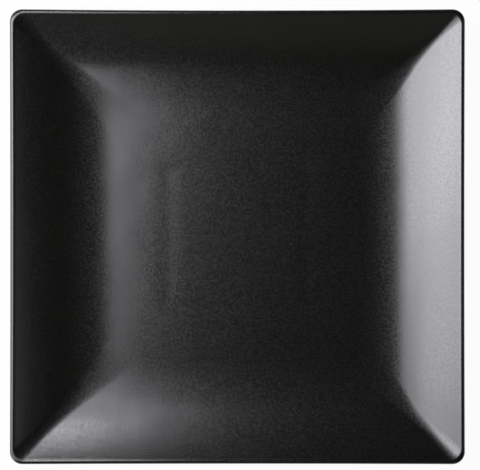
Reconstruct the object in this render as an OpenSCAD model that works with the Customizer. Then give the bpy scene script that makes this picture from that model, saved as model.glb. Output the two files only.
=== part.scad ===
// Square coupe-sided dinner plate: a pressed stoneware body and its three coats of glaze.
// The origin is on the table under the middle of the plate, and +Z is up.
// One side profile is carried round nested rounded squares. Their corners stay tight down the
// rim and open out in the cove, so the sharp mitres of the rim fade into a soft-cornered well.

/* [Outline] */
// Width over the glazed lip, the same both ways
plate_w = 270; // [220:1:330]
// Height of the lip above the table
plate_h = 25.5; // [19:0.5:32]
// Corner radius of the outline
corner_r = 8; // [5:0.5:20]

/* [Rim] */
// Radius of the rim's gentle hollow, which steepens towards the lip
hollow_r = 240; // [150:10:400]
// Thickness of the rounded lip, glaze included
lip_t = 4; // [3:0.1:6]
// Radius of the bend under the rim
under_r = 28; // [10:1:60]

/* [Well] */
// Thickness of the stoneware floor
floor_t = 5.5; // [4:0.1:8]
// Radius of the cove that lifts the rim off the well
cove_r = 80; // [40:1:140]
// Slope in degrees at the bend, where the cove ends and the rim's hollow starts
cove_angle = 20; // [12:0.5:24]
// Corner radius of the flat well
well_corner_r = 18.5; // [12:0.5:40]
// How far out from the bend the mitres start to open
mitre_reach = 4.5; // [0.5:0.5:20]

/* [Main foot ring] */
// Height of the recess under the floor
recess_h = 3; // [2:0.1:5]
// How far the foot's outer root lies inside the bend
foot_setback = 21; // [16:0.5:28]
// Height of the foot's outer wall
foot_rise = 3.4; // [2.5:0.1:5]
// Width of the standing face
foot_face_w = 4; // [2.5:0.1:6]
// Lean of the foot walls, in degrees
foot_draft = 15; // [5:1:30]
// Corner radius of the foot's outer root
foot_corner_r = 16; // [12:0.5:30]
// Rounding of the foot's lower edges
foot_edge_r = 0.8; // [0.3:0.1:1.2]
// Fillet at the foot's roots
foot_fillet_r = 2; // [0.5:0.1:3]

/* [Inner foot ring] */
// Place of the inner ring's middle line, as a share of the main ring's, to prop the floor half way
inner_place_share = 0.515; // [0.4:0.005:0.7]
// Width of the inner ring's lower face
inner_face_w = 4; // [2.5:0.1:6]
// Corner radius of the inner ring's outer root
inner_corner_r = 8.5; // [7:0.5:20]
// Gap between the inner ring and the table
inner_relief = 0.3; // [0.1:0.1:0.8]

/* [Glaze] */
// Thickness of the glaze
glaze_t = 0.3; // [0.15:0.05:0.5]
// Height of the wiped strip above each foot face
bare_h = 1.2; // [0.9:0.1:1.4]

/* [Hidden] */

// Smallest corner radius that any ring keeps
least_r = 0.5;
// Straight steps in each quarter turn of a corner, and in the arcs of the profile
corner_steps = 8;
cove_steps = 8;
hollow_steps = 4;
under_steps = 4;
lip_steps = 4;
fillet_steps = 4;
edge_steps = 3;
// Share of the shorter leg that a rounding may use up
leg_share = 0.48;
// Turn in degrees under which two legs count as one straight line
straight_turn = 0.01;

black_glaze = [0.09, 0.09, 0.09];
bare_clay = [0.56, 0.51, 0.46];

// The clay under the glaze
clay_half = plate_w / 2 - glaze_t;
clay_corner_r = corner_r - glaze_t;
lip_r = lip_t / 2 - glaze_t;
lip_centre = [clay_half - lip_r, plate_h - glaze_t - lip_r];

// Upper profile, as [distance from the middle, height]: the cove and the rim's hollow are arcs that
// meet at the bend, and the hollow runs tangent into the lip. The heights of the arcs' centres give
// the slope at the lip, and that gives their distances from the middle
floor_z = recess_h + floor_t;
bend_z = floor_z + cove_r * (1 - cos(cove_angle));
hollow_z = bend_z + hollow_r * cos(cove_angle);
lip_angle = acos((hollow_z - lip_centre.y) / (hollow_r + lip_r));
hollow_x = lip_centre.x - (hollow_r + lip_r) * sin(lip_angle);
bend_x = hollow_x + hollow_r * sin(cove_angle);
cove_x = bend_x - cove_r * sin(cove_angle);
lip_normal = [-sin(lip_angle), cos(lip_angle)];
slope_out = lip_centre + lip_r * lip_normal;

// Corners of the main foot ring
foot_half = bend_x - foot_setback;
foot_root = [foot_half, foot_rise];
foot_out = [foot_half - foot_rise * tan(foot_draft), 0];
foot_in = foot_out - [foot_face_w, 0];
recess_out = [foot_in.x - recess_h * tan(foot_draft), recess_h];

// Corners of the inner foot ring, which stops short of the table
inner_h = recess_h - inner_relief;
inner_lean = inner_h * tan(foot_draft);
inner_middle = inner_place_share * (foot_out.x + foot_in.x) / 2;
inner_out = [inner_middle + inner_face_w / 2, inner_relief];
inner_in = inner_out - [inner_face_w, 0];
recess_in = [inner_out.x + inner_lean, recess_h];
centre_out = [inner_in.x - inner_lean, recess_h];

// The underside leaves the lip at the slope there, and bends level at the height of the foot
under_out = lip_centre - lip_r * lip_normal;
under_in = [under_out.x - (under_out.y - foot_rise) / tan(lip_angle), foot_rise];

// Profile points carry the outward normal of the clay: [distance, height, normal x, normal z]
function unit(v) = v / norm(v);
function left_of(v) = [-v.y, v.x];
function turned(a, b, turn, f) = (sin((1 - f) * turn) * a + sin(f * turn) * b) / sin(turn);

// Point on the straight wall from p to q, at height z
function wall_point(p, q, z) =
    let (d = q - p, n = left_of(unit(d)), at = p + d * (z - p.y) / d.y)
    [at.x, at.y, n.x, n.y];

// Rounding of the corner q between p and s, limited by the shorter leg
function rounded(p, q, s, radius, steps) =
    let (
        d0 = unit(q - p),
        d1 = unit(s - q),
        turn = acos(max(-1, min(1, d0 * d1))),
        room = leg_share * min(norm(q - p), norm(s - q)),
        n0 = left_of(d0)
    )
    turn < straight_turn ? [[q.x, q.y, n0.x, n0.y]] :
    let (
        r = min(radius, room / tan(turn / 2)),
        side = sign(cross(d1, d0)),
        centre = q - d0 * r * tan(turn / 2) - side * r * n0
    )
    [for (i = [0:steps])
        let (n = turned(n0, left_of(d1), turn, i / steps), at = centre + side * r * n)
        [at.x, at.y, n.x, n.y]];

// Points of a hollow arc where the surface has the given slopes
function hollow_points(centre, radius, slopes) =
    [for (a = slopes)
        let (n = [-sin(a), cos(a)], at = centre - radius * n)
        [at.x, at.y, n.x, n.y]];

// Points on the lip's circle at the given angles
function lip_points(angles) =
    [for (a = angles)
        let (at = lip_centre + lip_r * [cos(a), sin(a)])
        [at.x, at.y, cos(a), sin(a)]];

// Profile in the order that a finger follows: over the well, round the lip and back underneath
cove = hollow_points([cove_x, floor_z + cove_r], cove_r,
    [for (i = [0:cove_steps]) cove_angle * i / cove_steps]);
rim = hollow_points([hollow_x, hollow_z], hollow_r,
    [for (i = [1:hollow_steps - 1]) cove_angle + (lip_angle - cove_angle) * i / hollow_steps]);
lip_top = lip_points([for (i = [2:-1:0]) 90 + lip_angle * i / 2]);
lip_outside = lip_points([
    for (i = [1:lip_steps]) 90 * (1 - i / lip_steps),
    for (i = [1:lip_steps]) (lip_angle - 90) * i / lip_steps]);
under_bend = rounded(under_out, under_in, foot_root, under_r, under_steps);
foot_outside = rounded(under_in, foot_root, foot_out, foot_fillet_r, fillet_steps);
foot_face = concat(
    rounded(foot_root, foot_out, foot_in, foot_edge_r, edge_steps),
    rounded(foot_out, foot_in, recess_out, foot_edge_r, edge_steps));
foot_inside = rounded(foot_in, recess_out, recess_in, foot_fillet_r, fillet_steps);
inner_outside = rounded(recess_out, recess_in, inner_out, foot_fillet_r, fillet_steps);
inner_face = concat(
    rounded(recess_in, inner_out, inner_in, foot_edge_r, edge_steps),
    rounded(inner_out, inner_in, centre_out, foot_edge_r, edge_steps));
centre_outside = rounded(inner_in, centre_out, [0, recess_h], foot_fillet_r, fillet_steps);

// Corner radius of the clay by distance from the middle, above and below
function concentric_r(x, half, r) = max(least_r, r - (half - x));
function lip_corner(x) = concentric_r(x, clay_half, clay_corner_r);
function smooth(f) = f * f * (3 - 2 * f);
function mitre_corner(x) =
    let (way_in = max(0, (bend_x + mitre_reach - x) / (bend_x + mitre_reach - cove_x)))
    lip_corner(slope_out.x) + (well_corner_r - lip_corner(slope_out.x)) * smooth(way_in);
function under_corner(x) =
    let (way_in = (under_out.x - x) / (under_out.x - foot_half))
    lip_corner(under_out.x) + (foot_corner_r - lip_corner(under_out.x)) * way_in;
function face_rings(points) = [for (p = points) [each p, mitre_corner(p.x)]];
function lip_rings(points) = [for (p = points) [each p, lip_corner(p.x)]];
function under_rings(points) = [for (p = points) [each p, under_corner(p.x)]];
function foot_rings(points) = [for (p = points) [each p, concentric_r(p.x, foot_half, foot_corner_r)]];
function inner_rings(points) = [for (p = points) [each p, concentric_r(p.x, recess_in.x, inner_corner_r)]];

// Stations: [distance, height, normal x, normal z, corner radius]
face_stations = concat(
    face_rings(concat(cove, rim)),
    lip_rings(concat(lip_top, lip_outside)),
    under_rings(under_bend),
    foot_rings(concat(foot_outside, [wall_point(foot_root, foot_out, bare_h)])));
recess_stations = concat(
    foot_rings([wall_point(foot_in, recess_out, bare_h)]),
    foot_rings(foot_inside),
    inner_rings(inner_outside),
    inner_rings([wall_point(recess_in, inner_out, bare_h)]));
centre_stations = inner_rings(concat(
    [wall_point(inner_in, centre_out, bare_h)],
    centre_outside));
clay_stations = concat(
    face_stations,
    foot_rings(foot_face),
    recess_stations,
    inner_rings(inner_face),
    centre_stations);

// Stations as rings, [half width, height, corner radius], lying a skin's thickness off the clay
function rings(stations, skin) =
    [for (s = stations) [s[0] + skin * s[2], s[1] + skin * s[3], s[4] + skin * s[2]]];
function reversed(list) = [for (i = [len(list) - 1:-1:0]) list[i]];

// Points of one rounded square, anticlockwise from above
function square_points(ring) =
    [for (quarter = [0:3], i = [0:corner_steps])
        let (
            a = 90 * (quarter + i / corner_steps),
            middle = (ring[0] - ring[2]) * sqrt(2),
            side = 90 * quarter + 45
        )
        [middle * cos(side) + ring[2] * cos(a), middle * sin(side) + ring[2] * sin(a), ring[1]]];

// Solid through a list of rings: its ends are capped, or else it closes on itself
module loft(ring_list, closed) {
    count = len(ring_list);
    turn = 4 * (corner_steps + 1);
    last = closed ? count - 1 : count - 2;
    sides = [for (i = [0:last], j = [0:turn - 1])
        let (
            here = i * turn,
            next = ((i + 1) % count) * turn,
            a = j,
            b = (j + 1) % turn
        )
        each [[here + a, next + b, next + a], [here + a, here + b, next + b]]];
    caps = closed ? [] : [
        [for (j = [turn - 1:-1:0]) j],
        [for (j = [0:turn - 1]) (count - 1) * turn + j]];
    polyhedron([for (r = ring_list) each square_points(r)], concat(sides, caps));
}

module stoneware_body() {
    color(bare_clay)
        loft(rings(clay_stations, 0), false);
}

module face_glaze() {
    color(black_glaze)
        loft(concat(rings(face_stations, glaze_t), reversed(rings(face_stations, 0))), false);
}

module recess_glaze() {
    color(black_glaze)
        loft(concat(rings(recess_stations, glaze_t), reversed(rings(recess_stations, 0))), true);
}

module centre_glaze() {
    color(black_glaze)
        loft(concat(reversed(rings(centre_stations, 0)), rings(centre_stations, glaze_t)), false);
}

stoneware_body();
face_glaze();
recess_glaze();
centre_glaze();
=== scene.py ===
"""Looks of the square dinner plate: three fine coats of black glaze over a pale stoneware body.

Lengths are in metres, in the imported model's frame: the origin is on the table under the middle
of the plate, and +Z is up. The camera looks straight down, as in the photograph.
"""

import math

import bmesh
import bpy
import numpy as np
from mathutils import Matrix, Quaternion, Vector


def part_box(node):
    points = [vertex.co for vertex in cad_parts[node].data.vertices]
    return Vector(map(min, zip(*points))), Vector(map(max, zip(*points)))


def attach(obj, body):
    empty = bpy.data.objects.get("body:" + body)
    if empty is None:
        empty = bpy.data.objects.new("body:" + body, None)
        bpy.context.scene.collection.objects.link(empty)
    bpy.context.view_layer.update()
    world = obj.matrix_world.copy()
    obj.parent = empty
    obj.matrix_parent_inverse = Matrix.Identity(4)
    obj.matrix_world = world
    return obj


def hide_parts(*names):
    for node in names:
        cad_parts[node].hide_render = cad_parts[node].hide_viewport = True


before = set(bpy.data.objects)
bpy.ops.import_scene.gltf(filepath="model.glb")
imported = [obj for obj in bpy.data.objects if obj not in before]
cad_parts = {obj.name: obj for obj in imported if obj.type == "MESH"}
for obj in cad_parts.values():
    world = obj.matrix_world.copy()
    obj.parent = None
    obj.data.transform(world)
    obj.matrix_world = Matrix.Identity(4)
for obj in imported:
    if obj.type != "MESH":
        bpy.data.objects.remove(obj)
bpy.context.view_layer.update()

MM = 0.001

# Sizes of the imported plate
low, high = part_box("face_glaze")
PLATE_W = high.x - low.x
PLATE_H = high.z
GLAZE_T = 0.3 * MM
HALF_W = PLATE_W / 2
CLAY_HALF = HALF_W - GLAZE_T

# Rim, cove and well
HOLLOW_R = 240 * MM
LIP_T = 4 * MM
UNDER_R = 28 * MM
FLOOR_T = 5.5 * MM
COVE_R = 80 * MM
COVE_ANGLE = math.radians(20)

# Foot rings
RECESS_H = 3 * MM
FOOT_SETBACK = 21 * MM
FOOT_RISE = 3.4 * MM
FOOT_FACE_W = 4 * MM
FOOT_DRAFT = math.radians(15)
FOOT_CORNER_R = 16 * MM
FOOT_EDGE_R = 0.8 * MM
FOOT_FILLET_R = 2 * MM
INNER_PLACE_SHARE = 0.515
INNER_FACE_W = 4 * MM
INNER_CORNER_R = 8.5 * MM
INNER_RELIEF = 0.3 * MM
BARE_H = 1.2 * MM

# How the face really rises, read from the shading: its slope at each bend, and the radius of its
# corners on plan. The slopes are then scaled a little to meet the lip.
BENDS = np.array([73, 78, 87, 95.5, 106, 113, 133]) * MM
BEND_SLOPES = np.radians([0, 1.3, 6.4, 10.6, 19.4, 23, 29])
BEND_SOFTENING = 3 * MM
MITRES = np.array([0, 42, 74, 106, 118, 133]) * MM
MITRE_RADII = np.array([0, 5.5, 18.2, 7.6, 5.6, 7.7]) * MM
MITRE_SOFTENING = 4 * MM
# The back right mitre is crisper than the other three: its radius loses this share, which comes and
# goes between these distances
CRISP_PLACES = np.array([102, 118, 124, 134]) * MM
CRISP_RAMP = (0, 1, 1, 0)
CRISP_SHARES = np.array([0.35, 0, 0, 0])
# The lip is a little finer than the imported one, with the same top and sides, and its corners on
# plan are a little tighter
FINE_LIP_T = 3.5 * MM
CORNER_R = 7.5 * MM

# Marks of the firing: the well sinks over the inner foot ring, the sides pull in a little, and the
# wiped glaze lines wander
SINK_W = 42 * MM
SINK_DEPTH = 0.07 * MM
SINK_SPREAD = 4 * MM
SIDE_BOW = 0.3 * MM
BACK_BOW = 0.75 * MM
# The rim's dip: its mean share, and its waves round the plate as count, share and phase
RIM_DIP = 0.12 * MM
DIP_MEAN_SHARE = 0.5
DIP_WAVES = ((2, 0.3, 0.7), (3, 0.2, 2.1))
# The wiped lines: how far they wander, and how often round the plate
GLAZE_EDGE_WAVE = 0.2 * MM
GLAZE_EDGE_COUNTS = (5, 9, 16, 27)
# Heights over the wiped line at which the glaze has these shares of its full thickness
GLAZE_EDGE_RISES = (0, 0.12 * MM, 0.3 * MM)
GLAZE_EDGE_SHARES = (0.25, 0.7, 0.95)

# Fineness of the meshes
CORNER_STEPS = 16
SIDE_STEPS = 18
SLOPE_STEPS = 6
LIP_STEPS = 30
BEND_STEPS = 12
FILLET_STEPS = 8
EDGE_STEPS = 6
FACE_STEP = 1.2 * MM
LEAST_R = 0.5 * MM
LEG_SHARE = 0.48
EASING = np.linspace(-1, 1, 9)
STRAIGHT_TURN = math.radians(0.01)

# Glaze: the size of each pattern in it, and how strong it is
GLAZE_IOR = 1.925
CLOUD_SPAN = (0.3, 0.7)
CLOUD_SIZE = 14 * MM
DARK_GLAZE = (0.0070, 0.0071, 0.0060)
LIGHT_GLAZE = (0.0084, 0.0085, 0.0071)
GLOSS_SIZE = 1.3 * MM
GLOSS_SPAN = (0.44, 0.56)
GLAZE_ROUGHNESS = (0.19, 0.246)
WAVE_SIZE = 25 * MM
WAVE_H = 0.1 * MM
GRAIN_SIZE = 0.9 * MM
GRAIN_H = 0.025 * MM

# Bare stoneware
CLAY_CLOUD_SIZE = 2.5 * MM
DARK_CLAY = (0.47, 0.42, 0.37)
LIGHT_CLAY = (0.60, 0.55, 0.49)
SPECK_SIZE = 0.9 * MM
SPECK_SPAN = (0.66, 0.72)
SPECK_COLOUR = (0.16, 0.10, 0.06, 1)
CLAY_GRAIN_SIZE = 0.5 * MM
CLAY_GRAIN_H = 0.1 * MM
CLAY_ROUGHNESS = (0.75, 0.95)

# Studio: how white the floor is, how much of it glows for the camera and in reflections, and how
# bright the room is for all but the camera
FLOOR_WHITE = 0.9
FLOOR_ROUGHNESS = 0.9
FLOOR_GLOW = 0.96
FLOOR_MIRRORED_GLOW = 0.8
FLOOR_HALF = 4.0
FLOOR_Z = -0.02 * MM
ROOM_GLOW = 0.001
COOL_LIGHT = (0.955, 0.945, 1.0)
WARM_LIGHT = (1.0, 0.97, 0.9)


def unit(v):
    return v / np.linalg.norm(v)


def left_of(v):
    return np.array([-v[1], v[0]])


def turned(a, b, turn, f):
    return (math.sin((1 - f) * turn) * a + math.sin(f * turn) * b) / math.sin(turn)


def rounded(p, q, s, radius, steps):
    """Profile points [distance, height, normal x, normal z] on the rounding of corner q."""
    p, q, s = (np.array(v, float) for v in (p, q, s))
    d0, d1 = unit(q - p), unit(s - q)
    turn = math.acos(np.clip(d0 @ d1, -1, 1))
    if turn < STRAIGHT_TURN:
        return [[*q, *left_of(d0)]]
    room = LEG_SHARE * min(np.linalg.norm(q - p), np.linalg.norm(s - q))
    r = min(radius, room / math.tan(turn / 2))
    side = np.sign(d1[0] * d0[1] - d1[1] * d0[0])
    centre = q - d0 * r * math.tan(turn / 2) - side * r * left_of(d0)
    points = []
    for i in range(steps + 1):
        n = turned(left_of(d0), left_of(d1), turn, i / steps)
        points.append([*(centre + side * r * n), *n])
    return points


def between(a, b, steps):
    """Profile points strictly between two others, on the straight line that joins them."""
    a, b = np.array(a), np.array(b)
    return [list(a + (b - a) * i / steps) for i in range(1, steps)]


def on_circle(centre, r, angles):
    return [[centre[0] + r * math.cos(a), centre[1] + r * math.sin(a), math.cos(a), math.sin(a)]
            for a in angles]


def wall_point(p, q, z):
    """Profile point on the straight wall from p to q, at height z."""
    p, q = np.array(p), np.array(q)
    at = p + (q - p) * (z - p[1]) / (q[1] - p[1])
    return [*at, *left_of(unit(q - p))]


def softened(x, places, values, spread):
    """Straight runs between the values, with their corners eased over the spread to either side."""
    return np.mean([np.interp(x + spread * f, places, values) for f in EASING], axis=0)


def edge_points(p, q, rises):
    """Profile points on the wall from p to q where the glaze thins out to its wiped line."""
    return [wall_point(p, q, BARE_H + rise) for rise in rises]


def profile_parts():
    """The plate's side profile as named runs of stations, each a profile point and its corner radius."""
    lip_r = LIP_T / 2 - GLAZE_T
    lip_centre = np.array([CLAY_HALF - lip_r, PLATE_H - GLAZE_T - lip_r])
    floor_z = RECESS_H + FLOOR_T
    hollow_z = floor_z + COVE_R * (1 - math.cos(COVE_ANGLE)) + HOLLOW_R * math.cos(COVE_ANGLE)
    lip_angle = math.acos((hollow_z - lip_centre[1]) / (HOLLOW_R + lip_r))
    hollow_x = lip_centre[0] - (HOLLOW_R + lip_r) * math.sin(lip_angle)
    bend_x = hollow_x + HOLLOW_R * math.sin(COVE_ANGLE)
    lip_normal = np.array([-math.sin(lip_angle), math.cos(lip_angle)])
    under_slope = lip_centre - lip_r * lip_normal
    under_in = (under_slope[0] - (under_slope[1] - FOOT_RISE) / math.tan(lip_angle), FOOT_RISE)

    fine_r = FINE_LIP_T / 2 - GLAZE_T
    fine_centre = np.array([CLAY_HALF - fine_r, PLATE_H - GLAZE_T - fine_r])
    slope_out = fine_centre + fine_r * lip_normal
    under_out = fine_centre - fine_r * lip_normal

    foot_half = bend_x - FOOT_SETBACK
    foot_root = (foot_half, FOOT_RISE)
    foot_out = (foot_half - FOOT_RISE * math.tan(FOOT_DRAFT), 0)
    foot_in = (foot_out[0] - FOOT_FACE_W, 0)
    recess_out = (foot_in[0] - RECESS_H * math.tan(FOOT_DRAFT), RECESS_H)
    inner_lean = (RECESS_H - INNER_RELIEF) * math.tan(FOOT_DRAFT)
    inner_middle = INNER_PLACE_SHARE * (foot_out[0] + foot_in[0]) / 2
    inner_out = (inner_middle + INNER_FACE_W / 2, INNER_RELIEF)
    inner_in = (inner_middle - INNER_FACE_W / 2, INNER_RELIEF)
    recess_in = (inner_out[0] + inner_lean, RECESS_H)
    centre_out = (inner_in[0] - inner_lean, RECESS_H)

    def face_run():
        count = round(slope_out[0] / FACE_STEP)
        x = slope_out[0] * np.arange(count + 1) / count
        tilt = np.tan(softened(x, BENDS, BEND_SLOPES, BEND_SOFTENING))
        rise = np.concatenate([[0], np.cumsum((tilt[1:] + tilt[:-1]) / 2 * np.diff(x))])
        scale = (slope_out[1] - floor_z) / rise[-1]
        return [[at, floor_z + scale * up, *unit(np.array([-scale * lean, 1]))]
                for at, up, lean in zip(x, rise, tilt)][1:-1]

    def concentric(x, half, r):
        return max(LEAST_R, r - (half - x))

    def lip_corner(x):
        return concentric(x, CLAY_HALF, CORNER_R - GLAZE_T)

    def face_corner(x):
        return min(x, float(softened(x, MITRES, MITRE_RADII, MITRE_SOFTENING)))

    def outer_corner(x):
        way_out = (x - slope_out[0]) / (CLAY_HALF - slope_out[0])
        return face_corner(slope_out[0]) * (1 - way_out) + lip_corner(CLAY_HALF) * way_out

    def under_corner(x):
        way_in = (under_out[0] - x) / (under_out[0] - foot_half)
        near_lip = lip_corner(under_out[0])
        return near_lip + (FOOT_CORNER_R - near_lip) * way_in

    def foot_corner(x):
        return concentric(x, foot_half, FOOT_CORNER_R)

    def inner_corner(x):
        return concentric(x, recess_in[0], INNER_CORNER_R)

    def ringed(points, corner):
        return [[*p, corner(p[0])] for p in points]

    angles = np.linspace(math.pi / 2 + lip_angle, lip_angle - math.pi / 2, LIP_STEPS)
    lip = on_circle(fine_centre, fine_r, angles)
    outermost = max(range(LIP_STEPS), key=lambda i: lip[i][0])
    under = between(lip[-1], [*under_in, *lip[-1][2:]], SLOPE_STEPS)[:-1]
    return {
        "face": (
            ringed(face_run(), face_corner)
            + ringed(lip[:outermost], outer_corner)
            + ringed(lip[outermost:], lip_corner)
            + ringed(under + rounded(under_out, under_in, foot_root, UNDER_R, BEND_STEPS), under_corner)
            + ringed(rounded(under_in, foot_root, foot_out, FOOT_FILLET_R, FILLET_STEPS)
                     + edge_points(foot_root, foot_out, GLAZE_EDGE_RISES[::-1]), foot_corner)
        ),
        "foot_face": ringed(
            rounded(foot_root, foot_out, foot_in, FOOT_EDGE_R, EDGE_STEPS)
            + rounded(foot_out, foot_in, recess_out, FOOT_EDGE_R, EDGE_STEPS), foot_corner),
        "recess": (
            ringed(edge_points(foot_in, recess_out, GLAZE_EDGE_RISES)
                   + rounded(foot_in, recess_out, recess_in, FOOT_FILLET_R, FILLET_STEPS), foot_corner)
            + ringed(rounded(recess_out, recess_in, inner_out, FOOT_FILLET_R, FILLET_STEPS)
                     + edge_points(recess_in, inner_out, GLAZE_EDGE_RISES[::-1]), inner_corner)
        ),
        "inner_face": ringed(
            rounded(recess_in, inner_out, inner_in, FOOT_EDGE_R, EDGE_STEPS)
            + rounded(inner_out, inner_in, centre_out, FOOT_EDGE_R, EDGE_STEPS), inner_corner),
        "centre": ringed(
            edge_points(inner_in, centre_out, GLAZE_EDGE_RISES)
            + rounded(inner_in, centre_out, (0, RECESS_H), FOOT_FILLET_R, FILLET_STEPS), inner_corner),
    }


def square_points(half, r):
    """Points of one square on plan with these four corner radii, anticlockwise, as an N by 2 array."""
    corners = []
    for quarter in range(4):
        a = math.pi / 2 * (quarter + np.arange(CORNER_STEPS + 1) / CORNER_STEPS)
        side = math.pi / 2 * quarter + math.pi / 4
        middle = (half - r[quarter]) * math.sqrt(2) * np.array([math.cos(side), math.sin(side)])
        corners.append(middle + r[quarter] * np.column_stack([np.cos(a), np.sin(a)]))
    points = []
    for here, there in zip(corners, corners[1:] + corners[:1]):
        f = np.arange(1, SIDE_STEPS)[:, None] / SIDE_STEPS
        points += [here, here[-1] + (there[0] - here[-1]) * f]
    return np.vstack(points)


def corner_radii(x, z, r):
    """The four corner radii of a station, whose rim has one mitre crisper than the others."""
    crisper = np.interp(x, CRISP_PLACES, CRISP_RAMP) if z > PLATE_H / 2 else 0
    return r * (1 - crisper * CRISP_SHARES)


def skin_rings(stations, skin):
    """Rings that lie a skin's thickness off the clay, each an N by 3 array."""
    rings = []
    for (x, z, nx, nz, r), t in zip(stations, np.broadcast_to(skin, len(stations))):
        flat = square_points(x + t * nx, corner_radii(x, z, r) + t * nx)
        rings.append(np.column_stack([flat, np.full(len(flat), z + t * nz)]))
    return rings


def fired(points):
    """Where kiln shrinkage leaves the points of the ideal plate: inside the ideal box."""
    x, y, z = points.T
    u, v = x / HALF_W, y / HALF_W
    bowed_x = x - SIDE_BOW * np.sign(u) * u ** 2 * (1 - np.minimum(v ** 2, 1))
    bow = np.where(y > 0, BACK_BOW, SIDE_BOW)
    bowed_y = y - bow * np.sign(v) * v ** 2 * (1 - np.minimum(u ** 2, 1))
    around = np.arctan2(y, x)
    rise = (z / PLATE_H) ** 2 * np.maximum(np.abs(u), np.abs(v)) ** 4
    dip_share = DIP_MEAN_SHARE
    for count, share, phase in DIP_WAVES:
        dip_share = dip_share + share * np.sin(count * around + phase)
    return np.column_stack([bowed_x, bowed_y, z - RIM_DIP * rise * dip_share])


def sunk(rings):
    """The well's rings with the shallow sink mark over the inner foot ring."""
    for ring in rings:
        half = ring[:, 0].max()
        ring[:, 2] -= SINK_DEPTH * math.exp(-((half - SINK_W) / SINK_SPREAD) ** 2 / 2)
    return rings


def loft_piece(name, rings, closed, material):
    """A closed solid through the rings: its ends are capped with a fan, or it closes on itself."""
    turn = len(rings[0])
    points = fired(np.vstack(rings))
    mesh = bpy.data.meshes.new(name)
    made = bmesh.new()
    verts = [made.verts.new(p) for p in points]
    count = len(rings) if closed else len(rings) - 1
    for i in range(count):
        here, there = i * turn, (i + 1) % len(rings) * turn
        for j in range(turn):
            k = (j + 1) % turn
            made.faces.new([verts[here + j], verts[here + k], verts[there + k], verts[there + j]])
    if not closed:
        for start in (0, (len(rings) - 1) * turn):
            hub = made.verts.new(points[start:start + turn].mean(axis=0))
            for j in range(turn):
                made.faces.new([hub, verts[start + j], verts[start + (j + 1) % turn]])
    bmesh.ops.recalc_face_normals(made, faces=made.faces)
    made.to_mesh(mesh)
    made.free()
    mesh.shade_smooth()
    piece = bpy.data.objects.new(name, mesh)
    bpy.context.scene.collection.objects.link(piece)
    mesh.materials.append(material)
    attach(piece, "root")
    return piece


def wave_edge(rings, seed):
    """Moves the first rings of a coat up its wall by turns, as a wiped glaze line wanders."""
    phases = np.random.default_rng(seed).uniform(0, 2 * math.pi, len(GLAZE_EDGE_COUNTS))
    edge = len(GLAZE_EDGE_RISES)
    rise = rings[edge] - rings[0]
    uphill = rise / rise[:, 2:]
    around = np.arctan2(rings[0][:, 1], rings[0][:, 0])
    wave = np.mean([np.sin(k * around + p) for k, p in zip(GLAZE_EDGE_COUNTS, phases)], axis=0)
    for ring in rings[:edge]:
        ring += uphill * (GLAZE_EDGE_WAVE * (1 + wave) / 2)[:, None]


def coat(stations, wiped_start, wiped_end, seed):
    """Outer and inner rings of one glaze coat, which thins out at its wiped edges."""
    skin = np.full(len(stations), GLAZE_T)
    edge = len(GLAZE_EDGE_SHARES)
    if wiped_start:
        skin[:edge] *= GLAZE_EDGE_SHARES
    if wiped_end:
        skin[-edge:] *= GLAZE_EDGE_SHARES[::-1]
    outside, inside = skin_rings(stations, skin), skin_rings(stations, 0)
    for rings in (outside, inside):
        if wiped_start:
            wave_edge(rings, seed)
        if wiped_end:
            wave_edge(rings[::-1], seed + 1)
    return outside, inside


def new_material(name):
    material = bpy.data.materials.new(name)
    material.use_nodes = True
    return material, material.node_tree.nodes, material.node_tree.links


def noise(nodes, links, coords, size, detail=3.0):
    """Value output of a noise whose features are about this size."""
    node = nodes.new("ShaderNodeTexNoise")
    node.inputs["Scale"].default_value = 1 / size
    node.inputs["Detail"].default_value = detail
    links.new(coords.outputs["Object"], node.inputs["Vector"])
    return node.outputs["Fac"]


def ramp(nodes, links, source, span, colours):
    """Colour output that goes from one colour to the other over the span of the source."""
    node = nodes.new("ShaderNodeValToRGB")
    for element, place, colour in zip(node.color_ramp.elements, span, colours):
        element.position = place
        element.color = (*colour, 1)
    links.new(source, node.inputs["Fac"])
    return node.outputs["Color"]


def mapped(nodes, links, source, span, values):
    """Output that goes from one value to the other over the span of the source."""
    node = nodes.new("ShaderNodeMapRange")
    node.inputs["From Min"].default_value, node.inputs["From Max"].default_value = span
    node.inputs["To Min"].default_value, node.inputs["To Max"].default_value = values
    links.new(source, node.inputs["Value"])
    return node.outputs["Result"]


def bump(nodes, links, height, distance, below=None):
    """Normal output of a bump, on top of the one below where there is one."""
    node = nodes.new("ShaderNodeBump")
    node.inputs["Distance"].default_value = distance
    links.new(height, node.inputs["Height"])
    if below:
        links.new(below, node.inputs["Normal"])
    return node.outputs["Normal"]


def glaze_material():
    """Satin black glaze: a fine matt grain over slow waves, and small changes of gloss."""
    material, nodes, links = new_material("black_satin_glaze")
    shader = nodes["Principled BSDF"]
    shader.inputs["IOR"].default_value = GLAZE_IOR
    coords = nodes.new("ShaderNodeTexCoord")
    clouds = noise(nodes, links, coords, CLOUD_SIZE)
    colour = ramp(nodes, links, clouds, CLOUD_SPAN, (DARK_GLAZE, LIGHT_GLAZE))
    links.new(colour, shader.inputs["Base Color"])
    gloss = noise(nodes, links, coords, GLOSS_SIZE)
    links.new(mapped(nodes, links, gloss, GLOSS_SPAN, GLAZE_ROUGHNESS), shader.inputs["Roughness"])
    waves = bump(nodes, links, noise(nodes, links, coords, WAVE_SIZE, detail=1.0), WAVE_H)
    grain = bump(nodes, links, noise(nodes, links, coords, GRAIN_SIZE, detail=2.0), GRAIN_H, waves)
    links.new(grain, shader.inputs["Normal"])
    return material


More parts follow.
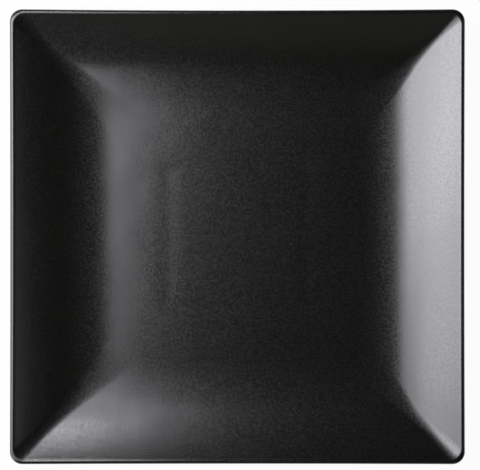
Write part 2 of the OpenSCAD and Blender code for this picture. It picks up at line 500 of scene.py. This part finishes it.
def stoneware_material():
    """Bare fired stoneware: warm grey-buff, open grained, with a few iron specks."""
    material, nodes, links = new_material("bare_stoneware")
    shader = nodes["Principled BSDF"]
    coords = nodes.new("ShaderNodeTexCoord")
    clouds = noise(nodes, links, coords, CLAY_CLOUD_SIZE, detail=4.0)
    body = ramp(nodes, links, clouds, CLOUD_SPAN, (DARK_CLAY, LIGHT_CLAY))
    spots = noise(nodes, links, coords, SPECK_SIZE, detail=2.0)
    specks = ramp(nodes, links, spots, SPECK_SPAN, ((0, 0, 0), (1, 1, 1)))
    mix = nodes.new("ShaderNodeMix")
    mix.data_type = "RGBA"
    mix.inputs["B"].default_value = SPECK_COLOUR
    links.new(specks, mix.inputs["Factor"])
    links.new(body, mix.inputs["A"])
    links.new(mix.outputs["Result"], shader.inputs["Base Color"])
    grain = noise(nodes, links, coords, CLAY_GRAIN_SIZE, detail=4.0)
    links.new(mapped(nodes, links, grain, (0, 1), CLAY_ROUGHNESS), shader.inputs["Roughness"])
    links.new(bump(nodes, links, grain, CLAY_GRAIN_H), shader.inputs["Normal"])
    return material


def build_plate():
    parts = profile_parts()
    glaze, stoneware = glaze_material(), stoneware_material()

    outside, inside = coat(parts["face"], False, True, seed=1)
    coats = [("face_glaze", sunk(outside) + inside[::-1], False)]
    outside, inside = coat(parts["recess"], True, True, seed=3)
    coats.append(("recess_glaze", outside + inside[::-1], True))
    outside, inside = coat(parts["centre"], True, False, seed=5)
    coats.append(("centre_glaze", inside[::-1] + outside, False))

    for node, rings, closed in coats:
        piece = loft_piece(f"{node}_coat", rings, closed, glaze)
        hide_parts(node)

    clay = [s for name in ("face", "foot_face", "recess", "inner_face", "centre") for s in parts[name]]
    piece = loft_piece("stoneware_clay", skin_rings(clay, 0), False, stoneware)
    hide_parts("stoneware_body")


def add_camera():
    """Straight above, as far off as the photograph's perspective says."""
    camera_place = (1.55 * MM, 1.0 * MM, 952 * MM)
    view_w = 285.3 * MM
    lip_plane = 22 * MM
    camera = bpy.data.cameras.new("camera")
    camera.sensor_width = 36
    camera.lens = camera.sensor_width * (camera_place[2] - lip_plane) / view_w
    holder = bpy.data.objects.new("camera", camera)
    holder.location = camera_place
    bpy.context.scene.collection.objects.link(holder)
    bpy.context.scene.camera = holder


def add_lamp(name, to_right, to_back, distance, width, height, roll, radiance, colour):
    """A soft box aimed at the plate. Its first two angles say how far it leans from straight above.

    Angles are in degrees, and the distance and sizes in millimetres.
    """
    lean = math.radians(math.hypot(to_right, to_back))
    around = math.atan2(to_back, to_right)
    lamp = bpy.data.lights.new(name, "AREA")
    lamp.shape = "RECTANGLE"
    lamp.size, lamp.size_y = width * MM, height * MM
    lamp.energy = math.pi * radiance * lamp.size * lamp.size_y
    lamp.color = colour
    holder = bpy.data.objects.new(name, lamp)
    across = math.sin(lean)
    holder.location = Vector((across * math.cos(around), across * math.sin(around), math.cos(lean)))
    aim = holder.location.to_track_quat("Z", "Y") @ Quaternion((0, 0, 1), math.radians(roll))
    holder.location *= distance * MM
    holder.rotation_euler = aim.to_euler()
    holder.visible_camera = False
    bpy.context.scene.collection.objects.link(holder)


def add_lamps():
    """Five cool soft boxes, mostly to the left and behind, and a weak warm one in front."""
    add_lamp("tall", -39.5, 16.5, 990, 400, 890, -3, 2.62, COOL_LIGHT)
    add_lamp("key", -25.5, 6.5, 670, 540, 380, 6, 2.3, COOL_LIGHT)
    add_lamp("wide", -56.5, -8.5, 1140, 1490, 1030, 13, 2.08, COOL_LIGHT)
    add_lamp("spot", -14.5, 33, 1120, 180, 170, 10, 6.6, COOL_LIGHT)
    add_lamp("fill", 49.5, 2.5, 1400, 180, 1110, 78, 0.74, COOL_LIGHT)
    add_lamp("bounce", 8, -45, 1000, 800, 400, 0, 0.08, WARM_LIGHT)


def floor_material():
    """Pale floor that glows white to the camera and in reflections, but keeps the plate's shadow."""
    material, nodes, links = new_material("pale_floor")
    shader = nodes["Principled BSDF"]
    shader.inputs["Base Color"].default_value = (FLOOR_WHITE, FLOOR_WHITE, FLOOR_WHITE, 1)
    shader.inputs["Roughness"].default_value = FLOOR_ROUGHNESS
    rays = nodes.new("ShaderNodeLightPath")
    glow = nodes.new("ShaderNodeEmission")
    mirrored = nodes.new("ShaderNodeMath")
    mirrored.operation = "MULTIPLY"
    mirrored.inputs[1].default_value = FLOOR_MIRRORED_GLOW
    share = nodes.new("ShaderNodeMath")
    share.operation = "MULTIPLY_ADD"
    share.inputs[1].default_value = FLOOR_GLOW
    mix = nodes.new("ShaderNodeMixShader")
    links.new(rays.outputs["Is Glossy Ray"], mirrored.inputs[0])
    links.new(rays.outputs["Is Camera Ray"], share.inputs[0])
    links.new(mirrored.outputs["Value"], share.inputs[2])
    links.new(share.outputs["Value"], mix.inputs["Fac"])
    links.new(shader.outputs["BSDF"], mix.inputs[1])
    links.new(glow.outputs["Emission"], mix.inputs[2])
    links.new(mix.outputs["Shader"], nodes["Material Output"].inputs["Surface"])
    return material


def add_floor():
    signs = ((-1, -1), (1, -1), (1, 1), (-1, 1))
    mesh = bpy.data.meshes.new("floor")
    mesh.from_pydata([(x * FLOOR_HALF, y * FLOOR_HALF, FLOOR_Z) for x, y in signs], [], [(0, 1, 2, 3)])
    mesh.materials.append(floor_material())
    floor = bpy.data.objects.new("floor", mesh)
    bpy.context.scene.collection.objects.link(floor)


def add_room():
    """A world that is white to the camera and nearly dark to everything else."""
    world = bpy.data.worlds.new("studio")
    bpy.context.scene.world = world
    world.use_nodes = True
    nodes, links = world.node_tree.nodes, world.node_tree.links
    rays = nodes.new("ShaderNodeLightPath")
    strength = mapped(nodes, links, rays.outputs["Is Camera Ray"], (0, 1), (ROOM_GLOW, 1.0))
    nodes["Background"].inputs["Color"].default_value = (1, 1, 1, 1)
    links.new(strength, nodes["Background"].inputs["Strength"])


add_camera()
build_plate()
add_lamps()
add_floor()
add_room()
bpy.context.scene.view_settings.view_transform = "Standard"
